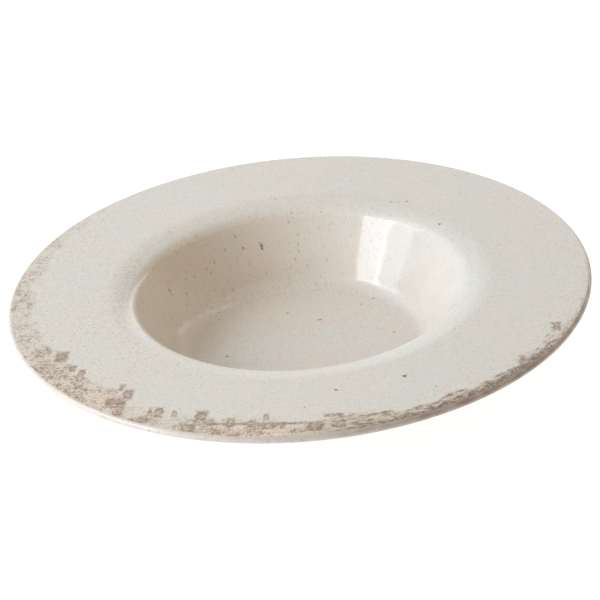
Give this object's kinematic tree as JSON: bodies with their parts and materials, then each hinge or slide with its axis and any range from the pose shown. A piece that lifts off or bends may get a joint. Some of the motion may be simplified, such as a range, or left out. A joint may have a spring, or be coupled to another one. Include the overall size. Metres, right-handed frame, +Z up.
{
  "type": "pasta plate",
  "caption": "Round stoneware pasta plate with a broad flat rim, a deep sloping well, a rounded lip and a bare foot ring, cream glazed, for serving pasta or soup.",
  "frame": {"origin": "centre of the foot ring, on the plane that it stands on", "axes": "+Z up along the axis that the plate is turned about; +X and +Y lie in the plane that it stands on"},
  "size_m": [0.28, 0.28, 0.0496],
  "materials": {
    "bare_clay": "bare fired stoneware, matte",
    "cream_glaze": "glossy cream glaze with fine specks and brown mottling near the lip",
    "iron_glaze": "thin glaze breaking grey brown over the lip",
    "underside_glaze": "satin cream glaze",
    "base_glaze": "satin cream glaze, thinly poured"
  },
  "bodies": {
    "root": {"stoneware_body": "bare_clay", "upper_glaze": "cream_glaze", "lip_glaze": "iron_glaze", "underside_glaze": "underside_glaze", "base_glaze": "base_glaze"}
  },
  "joints": []
}
